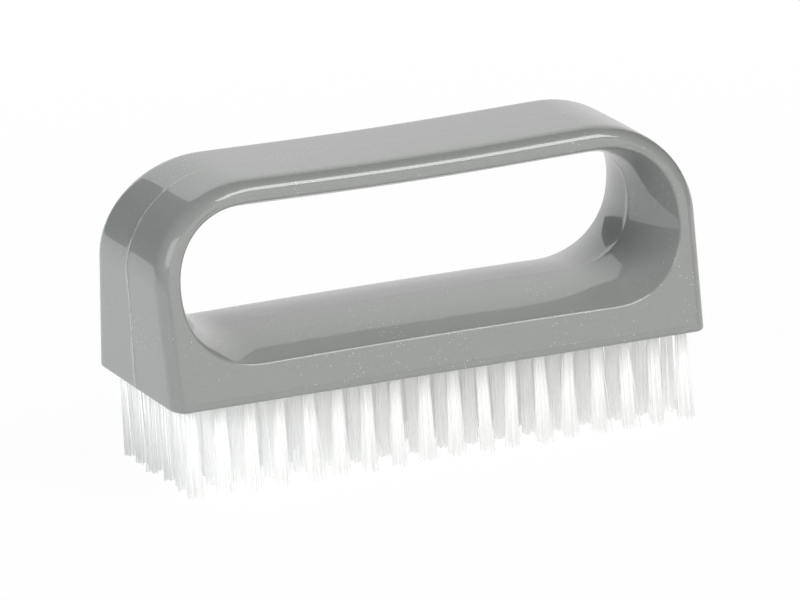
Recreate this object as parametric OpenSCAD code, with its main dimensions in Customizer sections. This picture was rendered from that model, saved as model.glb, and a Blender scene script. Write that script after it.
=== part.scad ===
// Nail brush: one moulded block with a loop handle, and bristle tufts that are folded round flat
// wire anchors and driven into blind holes in the underside of the block.
// Millimetres, +Z up.  X runs along the brush and the front face looks towards -Y.
// Origin: under the middle of the brush, level with the bristle tips that it stands on.

/* [Block and handle] */
// Length of the block along its lower edge
base_length = 110; // [104:1:118]
// How much further each end reaches at the shoulder than at the lower edge
shoulder_flare = 0.45; // [0:0.05:1]
// Depth of the block across its lower edge
base_depth = 42.2; // [41:0.2:46]
// Depth of the handle across its top, less than the block's because both faces lean in
handle_depth = 29.1; // [26:0.1:34]
// Height of the moulding from its underside to the top of the handle
body_height = 41.3; // [39:0.1:47]
// How far each rounded shoulder runs along the brush
shoulder_reach = 20.1; // [16:0.1:24]
// How far each rounded shoulder comes down from the top
shoulder_drop = 18.2; // [14:0.1:22]
// How far the top of the handle bows down in the middle
top_sag = 0.48; // [0:0.02:1]
// How far the ends and the top swell out at the mould's parting line
wall_crown = 0.1; // [0:0.05:0.4]
// How far the rounding of the end and top edges reaches across the ends and the top
edge_reach = 3.8; // [2:0.1:5]
// How far the rounding of the end and top edges comes down on the faces
edge_drop = 2.4; // [1.5:0.1:2.8]

/* [Finger opening] */
// Thickness of the block under the opening's rim
block_height = 7.35; // [7:0.05:9]
// Thickness of the handle's bar above the opening's rim
bar_height = 3.9; // [3.8:0.1:5.5]
// Thickness of the wall at each end of the opening's rim
end_wall = 4.2; // [4:0.1:6]
// How far each rounded end of the opening runs along the brush
opening_corner = 15.2; // [12:0.1:18]
// Fullness of the opening's rounded ends, where 2 is an ellipse and more is squarer
corner_fullness = 2.2; // [2:0.05:2.6]
// How far the opening's floor rises in the middle of its length
floor_rise = 0.24; // [0:0.02:0.6]
// How far the opening's ceiling bows down in the middle of its length
ceiling_sag = 0.47; // [0:0.01:1]
// How far the opening's wall swells inwards at the mould's parting line
inner_crown = 3.1; // [2:0.1:3.8]
// Radius of the opening's rim on both faces
rim_r = 0.5; // [0.3:0.05:0.8]

/* [Tuft holes] */
// Number of tufts in a row along the brush
tuft_columns = 18; // [15:1:18]
// Number of tufts in a column across the brush
tuft_lines = 6; // [5:1:6]
// Distance from the block's end to the middle of the first hole
end_margin = 4.3; // [4.3:0.1:6]
// Distance from the block's front or back lower edge to the middle of the first hole
side_margin = 4.2; // [3.6:0.1:6]
// Diameter of a tuft hole
hole_d = 2.4; // [2:0.1:2.6]
// Depth of a tuft hole
hole_depth = 6.4; // [5:0.1:6.8]

/* [Bristles] */
// Length of the bristles below the block
bristle_length = 18.2; // [12:0.1:24]
// Width of a tuft at its tips, as a multiple of its width at the root
tuft_flare = 1.42; // [1.1:0.02:1.6]
// Gap between the strands of a tuft at the root
strand_gap = 0.12; // [0.08:0.02:0.3]
// How far the strands of a tuft part further at the tips
strand_parting = 0.16; // [0:0.02:0.4]
// How far a tuft may lean at its tips
tuft_lean = 0.35; // [0:0.05:0.5]
// How unevenly the strands end
tip_scatter = 1.5; // [0.6:0.1:2.5]
// Depth of the flat trim across the longest strands
tip_trim = 0.5; // [0.3:0.1:1]

/* [Anchors] */
// Length of an anchor, which cuts into the hole's wall at both ends
anchor_length = 3; // [2.7:0.1:3.4]
// Height of an anchor
anchor_height = 1.5; // [1:0.1:2]
// Thickness of an anchor
anchor_thickness = 0.4; // [0.3:0.05:0.6]
// Thickness of the filaments folded over an anchor
fold_thickness = 0.7; // [0.4:0.1:1.2]

/* [Hidden] */
// Play of a tuft in its hole and round its anchor
tuft_play = 0.05;
// Play of an anchor's end in the cut that it makes in the hole's wall
anchor_play = 0.02;
// How far the strands run into the packed root
root_overlap = 1;
// How far a cut runs past the surface that it opens
overrun = 1;
// The loop is made longer than the block, with a rounded lower corner, and then cut off flat at the
// underside, above that corner and above the rounding of its edges
skin_corner_r = 3;
skin_trim = skin_corner_r + 0.1;

// Heights from the bristle tips
underside_z = bristle_length;
skin_z = underside_z - skin_trim;
top_z = underside_z + body_height;
floor_z = underside_z + block_height;
ceiling_z = top_z - bar_height;
shoulder_z = top_z - shoulder_drop;

// The opening's rounded ends are two quarter curves that meet at mid height
opening_half = base_length / 2 + shoulder_flare - end_wall;
opening_corner_z = (ceiling_z - floor_z) / 2;
opening_flat = opening_half - opening_corner;

// Spacing of the holes
column_pitch = (base_length - 2 * end_margin) / (tuft_columns - 1);
line_pitch = (base_depth - 2 * side_margin) / (tuft_lines - 1);
root_d = hole_d - 2 * tuft_play;

// Steps round half of the loop: underside, lower corner, end, shoulder and top
flat_steps = 8;
corner_steps = 5;
end_steps = 7;
shoulder_steps = 14;
top_steps = 8;
// Steps round the edges and across the inner wall of the loop's section
edge_steps = 5;
rim_steps = 2;
crown_shares = [0.75, 0.5, 0.25];
wall_shares = [0, 0.5];

body_colour = [0.64, 0.65, 0.63];
bristle_colour = [0.95, 0.95, 0.94];
anchor_colour = [0.72, 0.73, 0.74];

strands_per_tuft = 4;

function two_digits(n) = n < 10 ? str("0", n) : str(n);
function column_name(kind, c) = str(kind, two_digits(c + 1));

// Half depth of the moulding at a height: both faces lean in as they rise
function half_depth(z) =
    base_depth / 2 - (base_depth - handle_depth) / 2 * (z - underside_z) / body_height;

// Quarter of a superellipse, from its foot at angle 0 to its side at angle 90
function quarter_x(angle, fullness) = pow(sin(angle), 2 / fullness);
function quarter_z(angle, fullness) = pow(cos(angle), 2 / fullness);

// Right half of the outer outline as [x, z], from the middle of the bottom to the middle of the top
function outer_half() = let (
    corner_x = base_length / 2 - skin_corner_r,
    corner_z = skin_z + skin_corner_r,
    shoulder_x = base_length / 2 + shoulder_flare
) concat(
    [for (i = [0 : flat_steps - 1]) [corner_x * i / flat_steps, skin_z]],
    [for (i = [0 : corner_steps - 1]) let (a = 90 * i / corner_steps)
        [corner_x + skin_corner_r * sin(a), corner_z - skin_corner_r * cos(a)]],
    [for (i = [0 : end_steps - 1]) let (t = i / end_steps)
        [base_length / 2 + shoulder_flare * t, corner_z + (shoulder_z - corner_z) * t]],
    [for (i = [0 : shoulder_steps - 1]) let (a = 90 * i / shoulder_steps)
        [shoulder_x - shoulder_reach * (1 - cos(a)), shoulder_z + shoulder_drop * sin(a)]],
    [for (i = [0 : top_steps]) let (t = 1 - i / top_steps)
        [(shoulder_x - shoulder_reach) * t, top_z - top_sag * pow(1 - t * t, 1.5)]]
);

// Right half of the opening's rim as [x, z], with a point for each point of the outer outline
function inner_half() = let (
    low_steps = corner_steps + end_steps,
    middle_z = floor_z + opening_corner_z
) concat(
    [for (i = [0 : flat_steps - 1]) let (t = i / flat_steps)
        [opening_flat * t, floor_z + floor_rise * (1 - t * t)]],
    [for (i = [0 : low_steps - 1]) let (a = 90 * i / low_steps)
        [opening_flat + opening_corner * quarter_x(a, corner_fullness),
         middle_z - opening_corner_z * quarter_z(a, corner_fullness)]],
    [for (i = [0 : shoulder_steps - 1]) let (a = 90 - 90 * i / shoulder_steps)
        [opening_flat + opening_corner * quarter_x(a, corner_fullness),
         middle_z + opening_corner_z * quarter_z(a, corner_fullness)]],
    [for (i = [0 : top_steps]) let (t = 1 - i / top_steps)
        [opening_flat * t, ceiling_z - ceiling_sag * pow(1 - t * t, 1.5)]]
);

// Whole loop from its right half
function loop(half) = let (n = len(half)) concat(
    half,
    [for (i = [n - 2 : -1 : 1]) [-half[i][0], half[i][1]]]
);

// Unit normal of a loop at a point, away from the middle of the loop
function normal_at(points, i) = let (
    n = len(points),
    along = points[(i + 1) % n] - points[(i + n - 1) % n]
) [along[1], -along[0]] / norm(along);

function placed(p, y) = [p[0], y, p[1]];

// Front half of the loop's section at station i, from the parting line of the outer wall to the
// parting line of the inner wall
function front_section(p, out, q, into) = let (
    wall_y = half_depth(p[1]) - edge_reach,
    rim_y = half_depth(q[1])
) concat(
    [for (s = wall_shares) placed(p + out * wall_crown * (1 - s * s), -s * wall_y)],
    [for (k = [0 : edge_steps]) let (
        a = 90 * k / edge_steps,
        e = p - out * edge_drop * (1 - cos(a))
    ) placed(e, -(half_depth(e[1]) - edge_reach * (1 - sin(a))))],
    [for (k = [0 : rim_steps]) let (
        a = 90 * k / rim_steps,
        e = q + into * rim_r * (1 - sin(a))
    ) placed(e, -(half_depth(e[1]) - rim_r * (1 - cos(a))))],
    [for (s = crown_shares) placed(q - into * inner_crown * (1 - s * s), -s * (rim_y - rim_r))]
);

function mirrored_back(points) = [for (i = [len(points) - 1 : -1 : 1]) let (p = points[i])
    [p[0], -p[1], p[2]]];

function section(p, out, q, into) = let (front = front_section(p, out, q, into)) concat(
    front,
    [placed(q - into * inner_crown, 0)],
    mirrored_back(front)
);

// The moulding's skin: sections round the loop, joined by two triangles a quad
module loop_solid() {
    outer = loop(outer_half());
    inner = loop(inner_half());
    stations = len(outer);
    sections = [for (i = [0 : stations - 1])
        section(outer[i], normal_at(outer, i), inner[i], normal_at(inner, i))];
    around = len(sections[0]);
    faces = [for (i = [0 : stations - 1], k = [0 : around - 1]) let (
        here = i * around,
        next = (i + 1) % stations * around,
        up = (k + 1) % around
    ) each [[here + k, here + up, next + up], [here + k, next + up, next + k]]];
    polyhedron(points = [for (s = sections) each s], faces = faces, convexity = 6);
}

// Puts its children at the middle of each hole of column c, on the underside, with $line set
module at_column(c) {
    for ($line = [0 : tuft_lines - 1])
        translate([
            column_pitch * (c - (tuft_columns - 1) / 2),
            line_pitch * ($line - (tuft_lines - 1) / 2),
            underside_z
        ])
            children();
}

module anchor_blank(play) {
    translate([0, 0, hole_depth - fold_thickness - anchor_height / 2])
        cube([
            anchor_length + 2 * play,
            anchor_thickness + 2 * play,
            anchor_height + 2 * play
        ], center = true);
}

module tuft_hole() {
    translate([0, 0, -overrun])
        cylinder(d = hole_d, h = hole_depth + overrun, $fn = 32);
    anchor_blank(anchor_play);
}

// Everything of the loop that lies below the underside
module underside_cut() {
    size = [base_length + 2 * overrun, base_depth + 2 * overrun, skin_trim + overrun];
    translate([-size[0] / 2, -size[1] / 2, underside_z - size[2]])
        cube(size);
}

module body() {
    color(body_colour)
        difference() {
            loop_solid();
            underside_cut();
            for (c = [0 : tuft_columns - 1])
                at_column(c) tuft_hole();
        }
}

// Section of strand k at the root, a quarter of the tuft's section, as [x, y]
function strand_section(k) = let (
    r = root_d / 2 - tuft_play,
    g = strand_gap / 2,
    turn = 90 * k
) [for (p = [[g, g], [r, g], [r * cos(45), r * sin(45)], [g, r]])
    [p[0] * cos(turn) - p[1] * sin(turn), p[0] * sin(turn) + p[1] * cos(turn)]];

// One strand from the packed root down to its tip, moved at the tip by shift
module strand(k, shift, tip_z) {
    root = strand_section(k);
    away = [cos(90 * k + 45), sin(90 * k + 45)] * strand_parting;
    top = [for (p = root) [p[0], p[1], root_overlap]];
    tip = [for (p = root) let (q = p * tuft_flare + away + shift) [q[0], q[1], tip_z]];
    sides = len(root);
    polyhedron(
        points = concat(top, tip),
        faces = concat(
            [for (i = [0 : sides - 1]) let (j = (i + 1) % sides)
                each [[i, j, sides + j], [i, sides + j, sides + i]]],
            [[0, 3, 2], [0, 2, 1]],
            [[4, 5, 6], [4, 6, 7]]
        )
    );
}

// One tuft: the packed root in its hole, folded over the anchor, and the strands that fan out of it
module tuft(seed) {
    turn_and_lean = rands(-1, 1, 2 + strands_per_tuft, seed);
    lean_angle = 180 * turn_and_lean[0];
    shift = [cos(lean_angle), sin(lean_angle)] * tuft_lean * turn_and_lean[1];
    difference() {
        cylinder(d = root_d, h = hole_depth - tuft_play, $fn = 32);
        anchor_blank(tuft_play);
    }
    rotate(lean_angle)
        for (k = [0 : strands_per_tuft - 1]) {
            uneven = tip_scatter * (turn_and_lean[2 + k] + 1) / 2 - tip_trim;
            strand(k, shift, -bristle_length + max(0, uneven));
        }
}

module tuft_column(c) {
    color(bristle_colour)
        at_column(c) tuft(c * tuft_lines + $line);
}

module anchor_column(c) {
    color(anchor_colour)
        at_column(c) anchor_blank(0);
}

body();
for (c = [0 : tuft_columns - 1]) {
    tuft_column(c);
    anchor_column(c);
}
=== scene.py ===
import math

import bmesh
import bpy
import numpy as np
from mathutils import Matrix, Vector, geometry


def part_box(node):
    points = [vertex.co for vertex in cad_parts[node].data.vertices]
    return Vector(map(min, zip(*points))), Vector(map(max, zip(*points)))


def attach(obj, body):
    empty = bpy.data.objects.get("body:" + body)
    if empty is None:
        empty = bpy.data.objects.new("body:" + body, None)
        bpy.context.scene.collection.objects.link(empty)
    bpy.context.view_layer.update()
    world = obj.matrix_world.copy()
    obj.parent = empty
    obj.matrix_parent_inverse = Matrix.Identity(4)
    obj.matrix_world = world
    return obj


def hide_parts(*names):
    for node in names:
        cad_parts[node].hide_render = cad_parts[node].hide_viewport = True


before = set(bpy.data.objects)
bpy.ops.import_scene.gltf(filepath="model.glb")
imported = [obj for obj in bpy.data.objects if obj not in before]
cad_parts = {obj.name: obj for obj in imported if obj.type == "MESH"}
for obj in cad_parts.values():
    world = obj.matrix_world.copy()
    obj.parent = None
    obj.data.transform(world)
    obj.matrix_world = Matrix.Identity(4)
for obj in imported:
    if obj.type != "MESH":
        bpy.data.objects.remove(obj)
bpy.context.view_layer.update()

MM = 0.001

# The moulding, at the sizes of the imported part
BASE_LENGTH = 110 * MM
SHOULDER_FLARE = 0.45 * MM
BASE_DEPTH = 42.18 * MM
HANDLE_DEPTH = 29.1 * MM
BODY_HEIGHT = 41.3 * MM
SHOULDER_REACH = 20.1 * MM
SHOULDER_DROP = 18.2 * MM
TOP_SAG = 0.48 * MM
WALL_CROWN = 0.06 * MM
SKIN_CORNER_R = 3 * MM
SKIN_TRIM = 3.1 * MM
EDGE_REACH = 3.8 * MM
EDGE_DROP = 2.4 * MM
LOWER_EDGE_R = 0.6 * MM
BLOCK_HEIGHT = 7.35 * MM
BAR_HEIGHT = 3.9 * MM
END_WALL = 4.2 * MM
OPENING_CORNER = 15.2 * MM
CORNER_FULLNESS = 2.2
FLOOR_RISE = 0.24 * MM
CEILING_SAG = 0.47 * MM
INNER_CROWN = 3.1 * MM
RIM_R = 0.6 * MM
HOLE_R = 1.2 * MM
HOLE_DEPTH = 6.4 * MM
HOLE_CHAMFER = 0.15 * MM
HOLE_SIDES = 24
ANCHOR_THICKNESS = 0.4 * MM
TUFT_COLUMNS = 18
TUFT_LINES = 6

# Fine lines that the mould leaves: a flash ridge at mid-depth, and a bead above the lower edge
FLASH_WIDTH = 0.1 * MM
FLASH_HEIGHT = 0.03 * MM
INNER_FLASH_SHARE = 0.7
# Section of half of the ridge: distances from mid-depth, and shares of the ridge's height
FLASH_SECTION = ((0, 1), (FLASH_WIDTH / 4, 0.7), (FLASH_WIDTH / 2, 0))
# The ridge hardly shows within this distance of the brush's middle, and grows clear past it
FLASH_START = 40 * MM
FLASH_GROWTH = 6 * MM
FLASH_LEAST = 0.1
# The ridge comes and goes in a middle, a short and a long wave: their lengths for each radian
FLASH_WAVES = (7.3 * MM, 2.9 * MM, 19 * MM)
BEAD_RISE = 1.62 * MM
BEAD_WIDTH = 0.3 * MM
BEAD_HEIGHT = 0.06 * MM
BEAD_FADE = 2 * MM
# Flat strip beside a rounded edge, which keeps the shading of the flat face behind it even
FLAT_STRIP = 0.3 * MM

# Steps round half of the loop and across half of its section
FLAT_STEPS, CORNER_STEPS, END_STEPS, SHOULDER_STEPS, TOP_STEPS = 40, 12, 20, 56, 40
WALL_STEPS, EDGE_STEPS, RIM_STEPS, CROWN_STEPS = 5, 14, 8, 14
LOWER_EDGE_STEPS = 6
# Vertices closer than this are one
WELD_GAP = 0.001 * MM
# Edges that turn by more degrees than this are drawn sharp
CREASE_ANGLE = 35

# Nylon: the filaments of one tuft
FILAMENTS = 50
FILAMENT_R = 0.125 * MM
FILAMENT_SIDES = 4
FILAMENT_RINGS = 5
# How far a tuft widens and leans from its hole to its tips, and how its filaments differ
TUFT_FLARE = 1.42
FLARE_SPREAD = 0.15
TUFT_TILT = 0.36 * MM
TUFT_LEAN = 0.3 * MM
FILAMENT_SPLAY = 0.22 * MM
FILAMENT_BEND = 1.35
TIP_RAGGED = 0.75 * MM
TUFT_RAGGED = 0.35 * MM
TIP_CLEARANCE = 0.02 * MM
ROOT_DEPTH = 1.5 * MM
ROOT_SCATTER = 0.06 * MM
TURN_SCATTER = 0.2
# A few filaments splay further than the rest, and a few were cut short
STRAY_SHARE = 0.04
STRAY_SPLAY = 3.2
SHORT_SHARE = 0.05
SHORT_BY = 1.2 * MM
# Most filaments turn a flat side to the front, so that a tuft looks smooth
FILAMENT_TWIST = 0.55
# Each column's filaments are drawn from its own seed, this and its number
FIRST_SEED = 100

# Tones of the plastic, the marks on it, and the painted highlight on the parting line
PLASTIC_GREY = (0.28, 0.289, 0.283, 1)
DUST_TONE = (0.85, 0.86, 0.84, 1)
PIT_TONE = (0.03, 0.03, 0.03, 1)
# Near-white tone of the painted highlight on the parting line's crest
RIDGE_HIGHLIGHT_TONE = (0.95, 0.96, 0.95, 1)
# The parting line's crest carries a painted highlight over its whole length, most towards the ends
RIDGE_HIGHLIGHT_LEAST = 0.3
RIDGE_HIGHLIGHT_GROWTH = 8 * MM
# Tones of the nylon, which hold over a short length at the tips and at the roots; the greyer tip is
# painted shade that evens out the stronger light there
NYLON_SHADED_TIP = 0.8
NYLON_ROOT = 0.977
NYLON_END = 2 * MM

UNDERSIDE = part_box("body")[0].z
SKIN = UNDERSIDE - SKIN_TRIM
TOP = UNDERSIDE + BODY_HEIGHT
FLOOR = UNDERSIDE + BLOCK_HEIGHT
CEILING = TOP - BAR_HEIGHT
SHOULDER = TOP - SHOULDER_DROP
OPENING_HALF = BASE_LENGTH / 2 + SHOULDER_FLARE - END_WALL
OPENING_FLAT = OPENING_HALF - OPENING_CORNER
OPENING_RISE = (CEILING - FLOOR) / 2


def half_depth(z):
    """Distance of the front and back faces from mid-depth: they lean in towards the top."""
    return BASE_DEPTH / 2 - (BASE_DEPTH - HANDLE_DEPTH) / 2 * (z - UNDERSIDE) / BODY_HEIGHT


def shares(steps):
    return np.arange(steps) / steps


def outer_half():
    """Right half of the outer outline as rows of x and z.  It runs on below the underside, where
    it is cut off later."""
    corner_x = BASE_LENGTH / 2 - SKIN_CORNER_R
    corner_z = SKIN + SKIN_CORNER_R
    shoulder_x = BASE_LENGTH / 2 + SHOULDER_FLARE
    flat = shares(FLAT_STEPS)
    corner = shares(CORNER_STEPS) * np.pi / 2
    end = shares(END_STEPS)
    turn = shares(SHOULDER_STEPS) * np.pi / 2
    top = 1 - np.append(shares(TOP_STEPS), 1)
    xs = [
        corner_x * flat,
        corner_x + SKIN_CORNER_R * np.sin(corner),
        BASE_LENGTH / 2 + SHOULDER_FLARE * end,
        shoulder_x - SHOULDER_REACH * (1 - np.cos(turn)),
        (shoulder_x - SHOULDER_REACH) * top,
    ]
    zs = [
        np.full(FLAT_STEPS, SKIN),
        corner_z - SKIN_CORNER_R * np.cos(corner),
        corner_z + (SHOULDER - corner_z) * end,
        SHOULDER + SHOULDER_DROP * np.sin(turn),
        TOP - TOP_SAG * (1 - top * top) ** 1.5,
    ]
    return np.column_stack([np.concatenate(xs), np.concatenate(zs)])


def inner_half():
    """Right half of the opening's rim, with a row for each row of the outer outline."""
    power = 2 / CORNER_FULLNESS
    middle = FLOOR + OPENING_RISE
    flat = shares(FLAT_STEPS)
    low = shares(CORNER_STEPS + END_STEPS) * np.pi / 2
    high = (1 - shares(SHOULDER_STEPS)) * np.pi / 2
    top = 1 - np.append(shares(TOP_STEPS), 1)

    def side(angle):
        return OPENING_FLAT + OPENING_CORNER * np.sin(angle) ** power

    def rise(angle):
        return OPENING_RISE * np.clip(np.cos(angle), 0, 1) ** power

    xs = [OPENING_FLAT * flat, side(low), side(high), OPENING_FLAT * top]
    zs = [
        FLOOR + FLOOR_RISE * (1 - flat * flat),
        middle - rise(low),
        middle + rise(high),
        CEILING - CEILING_SAG * (1 - top * top) ** 1.5,
    ]
    return np.column_stack([np.concatenate(xs), np.concatenate(zs)])


def loop(half):
    """The closed outline, from its right half and that half's mirror image."""
    return np.vstack([half, (half * [-1, 1])[-2:0:-1]])


def outward(points):
    """Unit normals of a loop, away from its middle."""
    along = np.roll(points, -1, 0) - np.roll(points, 1, 0)
    normals = np.column_stack([along[:, 1], -along[:, 0]])
    return normals / np.linalg.norm(normals, axis=1)[:, None]


def flash_height(points):
    """The parting line's ridge comes and goes along the loop, and hardly shows away from the ends."""
    run = np.append(0, np.cumsum(np.linalg.norm(np.diff(points, axis=0), axis=1)))
    middle, short, long = FLASH_WAVES
    wander = np.sin(run / middle) * np.sin(run / short + 1) + 0.5 * np.sin(run / long)
    near_end = np.clip((np.abs(points[:, 0]) - FLASH_START) / FLASH_GROWTH, FLASH_LEAST, 1)
    return FLASH_HEIGHT * near_end * np.clip(0.55 + 0.45 * wander, FLASH_LEAST, 1)


def moulding_skin():
    """Points of the skin, as stations round the loop by steps round its section."""
    outer, inner = loop(outer_half()), loop(inner_half())
    out, into = outward(outer), outward(inner)
    wall_y = half_depth(outer[:, 1]) - EDGE_REACH
    slope = np.arctan(2 * INNER_CROWN / half_depth(inner[:, 1]))
    inner_y = half_depth(inner[:, 1]) - RIM_R * (1 - np.sin(slope))
    outer_flash = flash_height(outer)
    inner_flash = flash_height(inner) * INNER_FLASH_SHARE
    rows = []

    def put(points, y):
        rows.append(np.column_stack([points[:, 0], -y, points[:, 1]]))

    def put_outer_wall(y, flash=0):
        swell = WALL_CROWN * (1 - (y / wall_y) ** 2) + outer_flash * flash
        put(outer + out * swell[:, None], y * np.ones(len(outer)))

    def put_inner_wall(y, flash=0):
        swell = INNER_CROWN * (1 - (y / inner_y) ** 2) + inner_flash * flash
        put(inner - into * swell[:, None], y * np.ones(len(inner)))

    for distance, flash in FLASH_SECTION:
        put_outer_wall(distance, flash)
    for share in np.linspace(0.1, 1, WALL_STEPS)[:-1]:
        put_outer_wall(share * wall_y)
    for angle in np.linspace(0, np.pi / 2, EDGE_STEPS):
        edge = outer - out * EDGE_DROP * (1 - np.cos(angle))
        put(edge, half_depth(edge[:, 1]) - EDGE_REACH * (1 - np.sin(angle)))
    for face in (outer - out * (EDGE_DROP + FLAT_STRIP), inner + into * (RIM_R + FLAT_STRIP)):
        put(face, half_depth(face[:, 1]))
    for share in np.linspace(0, 1, RIM_STEPS):
        angle = (np.pi / 2 - slope) * share
        rim = inner + into * (RIM_R * (np.cos(slope) - np.sin(angle)))[:, None]
        put(rim, half_depth(rim[:, 1]) - RIM_R * (1 - np.cos(angle)))
    for share in np.linspace(1, 0.1, CROWN_STEPS)[1:]:
        put_inner_wall(share * inner_y)
    for distance, flash in reversed(FLASH_SECTION):
        put_inner_wall(distance, flash)
    front = np.stack(rows, 1)
    back = (front * [1, -1, 1])[:, -2:0:-1]
    return np.concatenate([front, back], 1)


def hole_centres(column):
    """Middles of a column's tuft holes, from the anchors that sit in them."""
    low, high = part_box(f"anchor_column_{column:02d}")
    first = low.y + ANCHOR_THICKNESS / 2
    pitch = (high.y - low.y - ANCHOR_THICKNESS) / (TUFT_LINES - 1)
    return [((low.x + high.x) / 2, first + pitch * line) for line in range(TUFT_LINES)]


def all_holes():
    return [centre for column in range(1, TUFT_COLUMNS + 1) for centre in hole_centres(column)]


def mesh_object(name, verts, faces, smooth=True):
    mesh = bpy.data.meshes.new(name)
    mesh.from_pydata([tuple(v) for v in verts], [], [tuple(int(i) for i in f) for f in faces])
    mesh.validate()
    piece = bpy.data.objects.new(name, mesh)
    bpy.context.scene.collection.objects.link(piece)
    for polygon in mesh.polygons:
        polygon.use_smooth = smooth
    return piece


def underside_plate(border):
    """The flat underside inside the border, with its chamfered blind holes."""
    points = [Vector(p[:2]) for p in border]
    edges = [(i, (i + 1) % len(border)) for i in range(len(border))]
    sides = HOLE_SIDES
    turn = [2 * math.pi * i / sides for i in range(sides)]
    mouth_r = HOLE_R + HOLE_CHAMFER
    holes = all_holes()
    for x, y in holes:
        start = len(points)
        points += [Vector((x + mouth_r * math.cos(a), y + mouth_r * math.sin(a))) for a in turn]
        edges += [(start + i, start + (i + 1) % sides) for i in range(sides)]
    flat, _, triangles, *_ = geometry.delaunay_2d_cdt(points, edges, [], 0, 1e-9)
    centres = np.array(holes)
    inside = mouth_r * math.cos(math.pi / sides)
    verts = [(p.x, p.y, UNDERSIDE) for p in flat]
    faces = []
    for triangle in triangles:
        middle = np.mean([flat[i][:] for i in triangle], axis=0)
        if np.linalg.norm(centres - middle, axis=1).min() > inside * 0.999:
            faces.append(triangle[::-1])
    for x, y in holes:
        start = len(verts)
        for radius, height in ((mouth_r, 0), (HOLE_R, HOLE_CHAMFER), (HOLE_R, HOLE_DEPTH)):
            z = UNDERSIDE + height
            verts += [(x + radius * math.cos(a), y + radius * math.sin(a), z) for a in turn]
        for ring in range(2):
            for i in range(sides):
                a, b = start + ring * sides + i, start + ring * sides + (i + 1) % sides
                faces.append((a, b, b + sides, a + sides))
        faces.append([start + 2 * sides + i for i in range(sides)])
    return verts, faces


def cut_level(work, height, keep_below=True):
    """Cuts the mesh at a height, and drops what lies below the cut if it isn't kept."""
    parts = work.verts[:] + work.edges[:] + work.faces[:]
    bmesh.ops.bisect_plane(work, geom=parts, dist=WELD_GAP, plane_co=(0, 0, height),
                           plane_no=(0, 0, 1), clear_inner=not keep_below)
    bmesh.ops.remove_doubles(work, verts=work.verts, dist=WELD_GAP)


def raise_bead(work):
    """A fine bead along the front and back faces, a little above the lower edge."""
    level = UNDERSIDE + BEAD_RISE
    for share in (-1.5, -0.5, 0, 0.5, 1.5):
        cut_level(work, level + share * BEAD_WIDTH)
    last = BASE_LENGTH / 2 - EDGE_DROP
    for vert in work.verts:
        on_face = abs(vert.co.y) > half_depth(vert.co.z) - WELD_GAP
        if on_face and abs(vert.co.z - level) < WELD_GAP:
            fade = min(1, max(0, (last - abs(vert.co.x)) / BEAD_FADE))
            vert.co.y += math.copysign(BEAD_HEIGHT * fade, vert.co.y)


def open_ring(work):
    """Vertices of the mesh's open border, in order and anticlockwise from above."""
    ring, edge = [], next(e for e in work.edges if e.is_boundary)
    vert = edge.verts[0]
    while vert not in ring[:1]:
        ring.append(vert)
        vert = edge.other_vert(vert)
        edge = next(e for e in vert.link_edges if e.is_boundary and e is not edge)
    turning = sum(a.co.x * b.co.y - b.co.x * a.co.y for a, b in zip(ring, ring[1:] + ring[:1]))
    return ring if turning > 0 else ring[::-1]


def round_lower_edge(work):
    """Carries the cut skin round a small edge, and returns the outline of the flat underside."""
    ring = open_ring(work)
    points = np.array([v.co[:2] for v in ring])
    out = outward(points)
    for angle in np.linspace(0, np.pi / 2, LOWER_EDGE_STEPS + 1)[1:]:
        inset = points - out * LOWER_EDGE_R * (1 - np.cos(angle))
        height = UNDERSIDE + LOWER_EDGE_R * (1 - np.sin(angle))
        onward = [work.verts.new((x, y, height)) for x, y in inset]
        for i, vert in enumerate(ring):
            work.faces.new((ring[i - 1], vert, onward[i], onward[i - 1]))
        ring = onward
    return inset


def make_body():
    skin = moulding_skin()
    stations, around = skin.shape[:2]
    work = bmesh.new()
    verts = [work.verts.new(point) for point in skin.reshape(-1, 3)]
    for station in range(stations):
        here, after = station * around, (station + 1) % stations * around
        for step in range(around):
            up = (step + 1) % around
            work.faces.new([verts[i] for i in (here + step, here + up, after + up, after + step)])
    cut_level(work, UNDERSIDE + LOWER_EDGE_R, keep_below=False)
    raise_bead(work)
    plate, plate_faces = underside_plate(round_lower_edge(work))
    verts = [work.verts.new(point) for point in plate]
    for face in plate_faces:
        work.faces.new([verts[i] for i in face])
    body = mesh_object("brush_body", [], [])
    finish_mesh(work, body)
    return body


def finish_mesh(work, piece):
    """Welds the mesh, turns its faces outwards, marks its sharp edges and gives it to the piece."""
    bmesh.ops.remove_doubles(work, verts=work.verts, dist=WELD_GAP)
    loose = [v for v in work.verts if not v.link_faces]
    bmesh.ops.delete(work, geom=loose, context="VERTS")
    bmesh.ops.recalc_face_normals(work, faces=work.faces)
    for face in work.faces:
        face.smooth = True
    work.to_mesh(piece.data)
    work.free()
    piece.data.set_sharp_from_angle(angle=math.radians(CREASE_ANGLE))


def packed_circle(count, radius, random):
    """Places of filaments in a round hole: an even spiral, a little disturbed."""
    turn = math.pi * (3 - math.sqrt(5))
    i = np.arange(count) + 0.5
    r = radius * np.sqrt(i / count) + (random.random(count) - 0.5) * ROOT_SCATTER
    a = i * turn + (random.random(count) - 0.5) * TURN_SCATTER
    return np.column_stack([r * np.cos(a), r * np.sin(a)])


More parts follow.
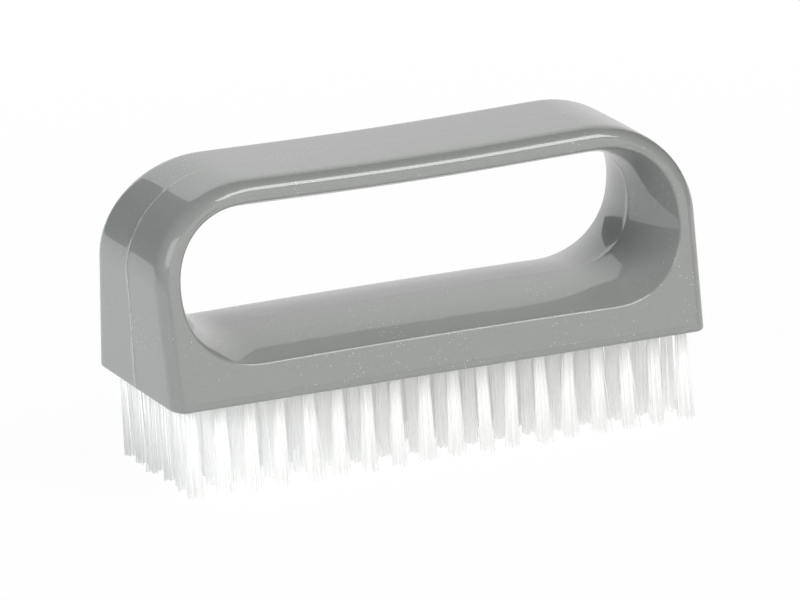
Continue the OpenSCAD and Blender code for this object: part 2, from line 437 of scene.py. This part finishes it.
def filament_paths(centre, random):
    """Centre lines of one tuft's filaments, as filaments by rings by xyz."""
    root = packed_circle(FILAMENTS, HOLE_R - 1.2 * FILAMENT_R, random)
    lean = np.array([TUFT_TILT, 0]) + (random.random(2) - 0.5) * 2 * TUFT_LEAN
    splay = random.normal(0, FILAMENT_SPLAY, (FILAMENTS, 2))
    stray = (random.random(FILAMENTS) < STRAY_SHARE)[:, None]
    splay = splay * np.where(stray, STRAY_SPLAY, 1)
    flare = TUFT_FLARE * (1 - FLARE_SPREAD + 2 * FLARE_SPREAD * random.random())
    tip = root * flare + lean + splay
    tip_z = TIP_CLEARANCE + TIP_RAGGED * random.random(FILAMENTS) ** 1.5
    tip_z += np.where(random.random(FILAMENTS) < SHORT_SHARE, SHORT_BY, 0)
    tip_z += TUFT_RAGGED * random.random()
    top_z = UNDERSIDE + ROOT_DEPTH
    paths = np.zeros((FILAMENTS, FILAMENT_RINGS, 3))
    for ring, down in enumerate(np.linspace(0, 1, FILAMENT_RINGS)):
        paths[:, ring, :2] = np.array(centre) + root + (tip - root) * down ** FILAMENT_BEND
        paths[:, ring, 2] = top_z + (tip_z - top_z) * down
    return paths


def filament_mesh(paths, random):
    """Closed tubes along the paths: vertices and quads."""
    count, rings = paths.shape[:2]
    twist = math.pi / 4 + (random.random(count) - 0.5) * FILAMENT_TWIST
    verts = np.zeros((count, rings, FILAMENT_SIDES, 3))
    for side in range(FILAMENT_SIDES):
        angle = twist + 2 * math.pi * side / FILAMENT_SIDES
        offset = np.column_stack([np.cos(angle), np.sin(angle), 0 * angle]) * FILAMENT_R
        verts[:, :, side] = paths + offset[:, None]
    f = np.arange(count)[:, None, None] * rings * FILAMENT_SIDES
    r = np.arange(rings - 1)[None, :, None] * FILAMENT_SIDES
    s = np.arange(FILAMENT_SIDES)[None, None, :]
    n = (s + 1) % FILAMENT_SIDES
    walls = np.stack([f + r + s, f + r + FILAMENT_SIDES + s, f + r + FILAMENT_SIDES + n, f + r + n], -1)
    first = f[:, 0, 0]
    last = first + (rings - 1) * FILAMENT_SIDES
    caps = [np.stack([first + i for i in range(FILAMENT_SIDES)], -1),
            np.stack([last + i for i in reversed(range(FILAMENT_SIDES))], -1)]
    return verts.reshape(-1, 3), np.concatenate([walls.reshape(-1, 4)] + caps)


def make_tufts(column, material):
    random = np.random.default_rng(FIRST_SEED + column)
    verts, faces, start = [], [], 0
    for centre in hole_centres(column):
        tube_verts, tube_faces = filament_mesh(filament_paths(centre, random), random)
        verts.append(tube_verts)
        faces.append(tube_faces + start)
        start += len(tube_verts)
    verts, faces = np.concatenate(verts), np.concatenate(faces)
    piece = mesh_object(f"nylon_tufts_{column:02d}", verts, faces, smooth=False)
    piece.data.materials.append(material)
    # Nylon this fine passes light on, so that the tufts don't shade each other
    piece.visible_shadow = False
    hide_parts(f"tuft_column_{column:02d}")
    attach(piece, "root")


def new_material(name):
    material = bpy.data.materials.new(name)
    material.use_nodes = True
    return material, material.node_tree


def add(tree, kind, inputs=None, **settings):
    """Adds a node, sets its properties and its input values, and returns it."""
    made = tree.nodes.new(kind)
    for key, value in settings.items():
        setattr(made, key, value)
    for key, value in (inputs or {}).items():
        if isinstance(value, bpy.types.NodeSocket):
            tree.links.new(value, made.inputs[key])
        else:
            made.inputs[key].default_value = value
    return made


def set_values(shader, values):
    for name, value in values.items():
        shader.inputs[name].default_value = value


def calculate(tree, operation, first, second=0.0):
    """Output of a node that does one sum."""
    return add(tree, "ShaderNodeMath", {0: first, 1: second}, operation=operation).outputs[0]


def ramp(tree, value, start, end, low=0.0, high=1.0):
    """Output that runs from low to high as the value runs from start to end, and stays there."""
    limits = {"Value": value, "From Min": start, "From Max": end, "To Min": low, "To Max": high}
    return add(tree, "ShaderNodeMapRange", limits).outputs["Result"]


def specks(tree, place, scale, radius, share):
    """Round specks in the given share of the cells of a fine pattern: 1 on a speck, 0 beside it."""
    cells = add(tree, "ShaderNodeTexVoronoi", {"Vector": place, "Scale": scale}).outputs
    near = calculate(tree, "LESS_THAN", cells["Distance"], radius * scale)
    pick = add(tree, "ShaderNodeSeparateColor", {"Color": cells["Color"]}).outputs["Red"]
    return calculate(tree, "MULTIPLY", near, calculate(tree, "LESS_THAN", pick, share))


def parting_line_highlight(tree, place):
    """Painted highlight on the crest of the flash ridge at mid-depth, in dashes: 1 on the crest, 0
    beside it.
    """
    position = add(tree, "ShaderNodeSeparateXYZ", {"Vector": place}).outputs
    beside = calculate(tree, "ABSOLUTE", position["Y"])
    along = calculate(tree, "ABSOLUTE", position["X"])
    near_end = ramp(tree, along, FLASH_START, FLASH_START + RIDGE_HIGHLIGHT_GROWTH, RIDGE_HIGHLIGHT_LEAST)
    crest = ramp(tree, beside, 0.7 * FLASH_WIDTH, 0.2 * FLASH_WIDTH, high=near_end)
    dashes = add(tree, "ShaderNodeTexNoise", {"Vector": place, "Scale": 420.0, "Detail": 2.0})
    return calculate(tree, "MULTIPLY", crest, ramp(tree, dashes.outputs["Fac"], 0.4, 0.55))


def grey_plastic():
    """Silver-grey plastic: a fine flake under a glossy skin, with specks, pits, soft waves and a
    painted highlight along the parting line.
    """
    material, tree = new_material("grey_plastic")
    shader = tree.nodes["Principled BSDF"]
    place = add(tree, "ShaderNodeTexCoord").outputs["Object"]
    flake = add(tree, "ShaderNodeTexVoronoi", {"Vector": place, "Scale": 5200.0}).outputs["Color"]
    shade = ramp(tree, flake, 0.0, 1.0, 0.94, 1.06)
    colour = add(tree, "ShaderNodeMix", {"Factor": 1.0, "A": PLASTIC_GREY, "B": shade},
                 data_type="RGBA", blend_type="MULTIPLY")
    cloud = add(tree, "ShaderNodeTexNoise", {"Vector": place, "Scale": 70.0, "Detail": 2.0})
    dust = calculate(tree, "MULTIPLY", specks(tree, place, scale=1500.0, radius=0.08 * MM, share=0.5),
                     ramp(tree, cloud.outputs["Fac"], 0.45, 0.57))
    pits = specks(tree, place, scale=520.0, radius=0.1 * MM, share=0.1)
    # Painted highlight along the crest of the parting line, in dashes
    ridge_highlight = parting_line_highlight(tree, place)
    for share, tone in ((dust, DUST_TONE), (pits, PIT_TONE), (ridge_highlight, RIDGE_HIGHLIGHT_TONE)):
        colour = add(tree, "ShaderNodeMix", {"Factor": share, "A": colour.outputs["Result"], "B": tone},
                     data_type="RGBA")
    tree.links.new(colour.outputs["Result"], shader.inputs["Base Color"])
    wave = add(tree, "ShaderNodeTexNoise", {"Vector": place, "Scale": 160.0, "Detail": 1.0})
    bump = add(tree, "ShaderNodeBump", {"Height": wave.outputs["Fac"], "Distance": 0.06 * MM,
                                        "Strength": 0.35}).outputs["Normal"]
    tree.links.new(bump, shader.inputs["Normal"])
    tree.links.new(bump, shader.inputs["Coat Normal"])
    set_values(shader, {"Metallic": 0.05, "Roughness": 0.45, "Specular IOR Level": 0.3,
                        "Coat Weight": 0.6, "Coat Roughness": 0.03, "Coat IOR": 1.7})
    return material


def nylon():
    """White filament, a little varied along its length, with painted shade that greys it towards its
    tip.
    """
    material, tree = new_material("nylon")
    shader = tree.nodes["Principled BSDF"]
    place = add(tree, "ShaderNodeTexCoord").outputs["Object"]
    cloud = add(tree, "ShaderNodeTexNoise", {"Vector": place, "Scale": 900.0, "Detail": 1.0})
    height = add(tree, "ShaderNodeSeparateXYZ", {"Vector": place}).outputs["Z"]
    # Painted shade: darker towards the tips, which take more light than the roots
    along = ramp(tree, height, NYLON_END, UNDERSIDE - NYLON_END, NYLON_SHADED_TIP, NYLON_ROOT)
    varied = ramp(tree, cloud.outputs["Fac"], 0.0, 1.0, 0.985, 1.0)
    base = add(tree, "ShaderNodeMix", {"Factor": 1.0, "A": along, "B": varied},
               data_type="RGBA", blend_type="MULTIPLY")
    tree.links.new(base.outputs["Result"], shader.inputs["Base Color"])
    set_values(shader, {"Roughness": 0.5, "Specular IOR Level": 0.35})
    return material


def anchor_steel():
    """Bare flat wire with fine drawing lines along it."""
    material, tree = new_material("anchor_steel")
    shader = tree.nodes["Principled BSDF"]
    place = add(tree, "ShaderNodeTexCoord").outputs["Object"]
    lines = add(tree, "ShaderNodeMapping", {"Vector": place, "Scale": (200.0, 4000.0, 9000.0)})
    grain = add(tree, "ShaderNodeTexNoise", {"Vector": lines.outputs["Vector"], "Scale": 1.0})
    rough = ramp(tree, grain.outputs["Fac"], 0.0, 1.0, 0.28, 0.45)
    tree.links.new(rough, shader.inputs["Roughness"])
    set_values(shader, {"Base Color": (0.55, 0.56, 0.57, 1), "Metallic": 1.0})
    return material


def compass(azimuth, elevation):
    """Direction from the object: azimuth 0 is towards -Y and 90 towards +X, as for a camera."""
    a, e = math.radians(azimuth), math.radians(elevation)
    return Vector((math.sin(a) * math.cos(e), -math.cos(a) * math.cos(e), math.sin(e)))


# Camera, as fitted to the photograph's outlines
CAMERA_AZIMUTH = -22.0
CAMERA_ELEVATION = 15.66
CAMERA_ROLL = -2.76
CAMERA_DISTANCE = 1.963
CAMERA_AIM = (-0.1 * MM, -10.17 * MM)
FIT_HEIGHT = 38.12 * MM
FOCAL_SHARE = 12.825


def make_camera():
    back = compass(CAMERA_AZIMUTH, CAMERA_ELEVATION)
    side = Vector((math.cos(math.radians(CAMERA_AZIMUTH)), math.sin(math.radians(CAMERA_AZIMUTH)), 0))
    above = back.cross(side)
    roll = math.radians(CAMERA_ROLL)
    right = math.cos(roll) * side + math.sin(roll) * above
    up = -math.sin(roll) * side + math.cos(roll) * above
    aim = Vector((0, 0, FIT_HEIGHT)) + CAMERA_AIM[0] * side + CAMERA_AIM[1] * above
    data = bpy.data.cameras.new("camera")
    data.lens = data.sensor_width * FOCAL_SHARE
    data.clip_start, data.clip_end = 0.1, 100
    camera = bpy.data.objects.new("camera", data)
    bpy.context.scene.collection.objects.link(camera)
    turn = Matrix((right, up, back)).transposed().to_4x4()
    camera.matrix_world = Matrix.Translation(aim + back * CAMERA_DISTANCE) @ turn
    bpy.context.scene.camera = camera


# Soft boxes: name, azimuth, elevation, distance, width, height, brightness where 1 is white, tint
SOFT_BOXES = [
    ("key", 33, 57, 1.2, 0.74, 0.46, 7.6, (1.0, 1.0, 0.96)),
    ("left", -60, 30, 1.2, 0.9, 0.5, 2.9, (0.94, 0.98, 1.0)),
    ("low left", -100, 14, 1.2, 1.0, 0.6, 3.0, (0.95, 0.98, 1.0)),
    ("front", 4, 16, 1.4, 1.8, 1.0, 1.25, (1.0, 1.0, 0.96)),
    ("low right", 75, 12, 1.2, 0.8, 0.6, 1.2, (1.0, 1.0, 0.98)),
    ("backdrop", 162, 18, 1.5, 1.25, 1.5, 1.1, (1.0, 1.0, 1.0)),
    ("back", 172, 12, 1.3, 1.0, 0.6, 0.9, (1.0, 1.0, 1.0)),
]
# Soft boxes that light the object but leave no reflection on it
UNSEEN_BOXES = ["low left", "low right", "back"]
MIDDLE = Vector((0, 0, 0.035))
WALL_DISTANCE = 2.5
WALL_GREY = 0.1
FLOOR_RADIUS = 0.9
FLOOR_SIDES = 64
FLOOR_WHITE = 0.9
# Share of its white that the floor takes from the light on it near the brush, fading to none
FLOOR_SHADOW = 0.04
FLOOR_FADE = (0.1, 0.35)
# White nylon passes light on many times
LIGHT_BOUNCES = 24


def make_lights():
    for name, azimuth, elevation, distance, width, height, brightness, tint in SOFT_BOXES:
        data = bpy.data.lights.new(name, "AREA")
        data.shape = "RECTANGLE"
        data.size, data.size_y = width, height
        data.energy = brightness * math.pi * width * height
        data.color = tint
        lamp = bpy.data.objects.new(name, data)
        bpy.context.scene.collection.objects.link(lamp)
        towards = compass(azimuth, elevation)
        lamp.location = MIDDLE + towards * distance
        lamp.rotation_mode = "QUATERNION"
        lamp.rotation_quaternion = towards.to_track_quat("Z", "Y")
        lamp.visible_camera = False
        lamp.visible_glossy = name not in UNSEEN_BOXES


def background_share(tree, share=1.0):
    """The given share for rays that show the background: camera, glossy and transmission rays."""
    light = add(tree, "ShaderNodeLightPath").outputs
    shown = light["Is Camera Ray"]
    for name in ("Is Glossy Ray", "Is Transmission Ray"):
        shown = calculate(tree, "MAXIMUM", shown, light[name])
    return calculate(tree, "MULTIPLY", shown, share)


def make_world():
    world = bpy.data.worlds.new("white_background")
    world.use_nodes = True
    bpy.context.scene.world = world
    tree = world.node_tree
    background = tree.nodes["Background"]
    set_values(background, {"Color": (1, 1, 1, 1)})
    tree.links.new(background_share(tree), background.inputs["Strength"])


def make_floor():
    """White table top.  Its shadows are faint, and fade out towards its rim."""
    turn = [2 * math.pi * i / FLOOR_SIDES for i in range(FLOOR_SIDES)]
    rim = [(FLOOR_RADIUS * math.cos(a), FLOOR_RADIUS * math.sin(a), 0) for a in turn]
    floor = mesh_object("floor", rim, [list(range(FLOOR_SIDES))])
    material, tree = new_material("white_table")
    shader = tree.nodes["Principled BSDF"]
    set_values(shader, {"Base Color": (FLOOR_WHITE, FLOOR_WHITE, FLOOR_WHITE, 1), "Roughness": 0.9,
                        "Specular IOR Level": 0})
    place = add(tree, "ShaderNodeTexCoord").outputs["Object"]
    away = add(tree, "ShaderNodeVectorMath", {0: place}, operation="LENGTH").outputs["Value"]
    white = ramp(tree, away, *FLOOR_FADE, low=1 - FLOOR_SHADOW)
    glow = add(tree, "ShaderNodeEmission", {"Strength": 1.0})
    mix = add(tree, "ShaderNodeMixShader", {0: background_share(tree, white)})
    tree.links.new(shader.outputs[0], mix.inputs[1])
    tree.links.new(glow.outputs[0], mix.inputs[2])
    tree.links.new(mix.outputs[0], tree.nodes["Material Output"].inputs["Surface"])
    floor.data.materials.append(material)


def make_room():
    """Dark studio walls, which only reflections see."""
    room = mesh_object("studio_walls", *box_room(WALL_DISTANCE))
    material, tree = new_material("dark_wall")
    shader = tree.nodes["Principled BSDF"]
    set_values(shader, {"Base Color": (WALL_GREY, WALL_GREY, WALL_GREY, 1), "Roughness": 1.0,
                        "Specular IOR Level": 0})
    room.data.materials.append(material)
    room.visible_camera = False
    room.visible_shadow = False


def box_room(half):
    corners = [(x, y, z) for x in (-half, half) for y in (-half, half) for z in (-half / 2, half)]
    sides = [(0, 1, 3, 2), (4, 6, 7, 5), (0, 4, 5, 1), (2, 3, 7, 6), (1, 5, 7, 3), (0, 2, 6, 4)]
    return corners, sides


make_camera()
make_lights()
make_world()
make_floor()
make_room()

body = make_body()
body.data.materials.append(grey_plastic())
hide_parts("body")
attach(body, "root")

white_nylon = nylon()
steel = anchor_steel()
for column in range(1, TUFT_COLUMNS + 1):
    make_tufts(column, white_nylon)
    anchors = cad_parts[f"anchor_column_{column:02d}"]
    anchors.data.materials.clear()
    anchors.data.materials.append(steel)

bpy.context.scene.view_settings.view_transform = "Standard"
bpy.context.scene.cycles.diffuse_bounces = LIGHT_BOUNCES
bpy.context.scene.cycles.max_bounces = LIGHT_BOUNCES
